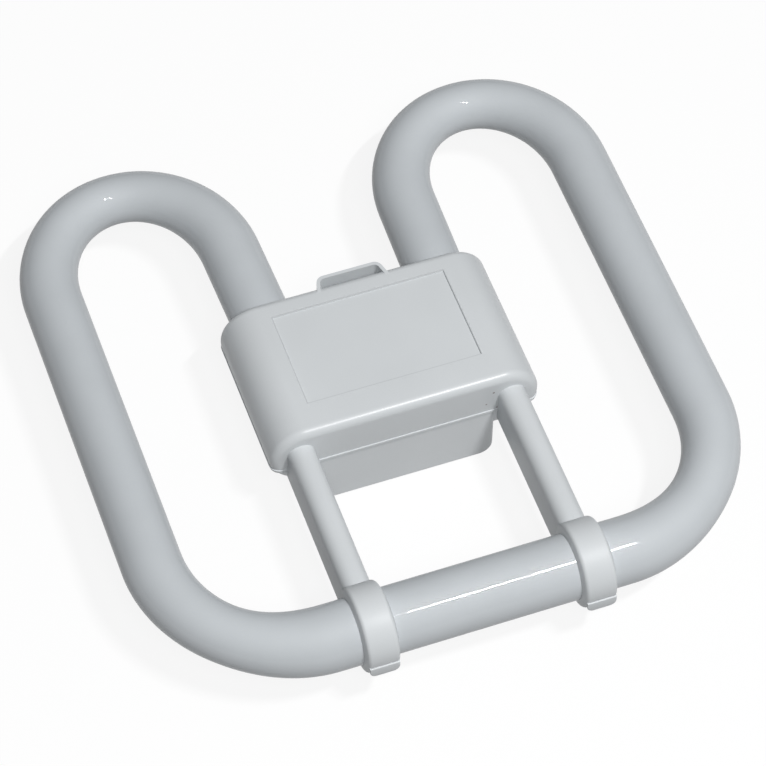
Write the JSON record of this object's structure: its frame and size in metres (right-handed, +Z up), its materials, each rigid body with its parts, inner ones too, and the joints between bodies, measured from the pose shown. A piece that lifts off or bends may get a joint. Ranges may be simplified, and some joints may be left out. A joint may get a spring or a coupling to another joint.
{
  "type": "square compact fluorescent lamp",
  "caption": "Square compact fluorescent lamp: a flat bent glass tube held by a central plastic cap with arms, clips and plug-in contact pins.",
  "frame": {"origin": "under the middle of the lamp's outline, level with the flat bottom of the cap", "axes": "+Z up from the plug side to the side with the panel, +Y towards the two U-turns of the glass, +X along the straight run"},
  "size_m": [0.138, 0.141, 0.0275],
  "materials": {
    "coated_glass": "smooth glass, white with the powder coating inside",
    "cover_plastic": "satin white moulding",
    "base_plastic": "satin white moulding",
    "cement": "matt set cement",
    "pin_brass": "turned",
    "crimp_metal": "plain",
    "lead_wire": "plain",
    "starter_glass": "clear glass with its two leads",
    "capacitor_case": "dipped coating with its two leads"
  },
  "bodies": {
    "root": {"glass_tube": "coated_glass", "cap_cover": "cover_plastic", "cap_base": "base_plastic", "starter_bulb": "starter_glass", "starter_capacitor": "capacitor_case", "right_cement": "cement", "left_cement": "cement", "right_contact_pin": "pin_brass", "left_contact_pin": "pin_brass", "right_crimp": "crimp_metal", "left_crimp": "crimp_metal", "right_starter_lead": "lead_wire", "left_starter_lead": "lead_wire", "right_pin_lead": "lead_wire", "left_pin_lead": "lead_wire"}
  },
  "joints": []
}
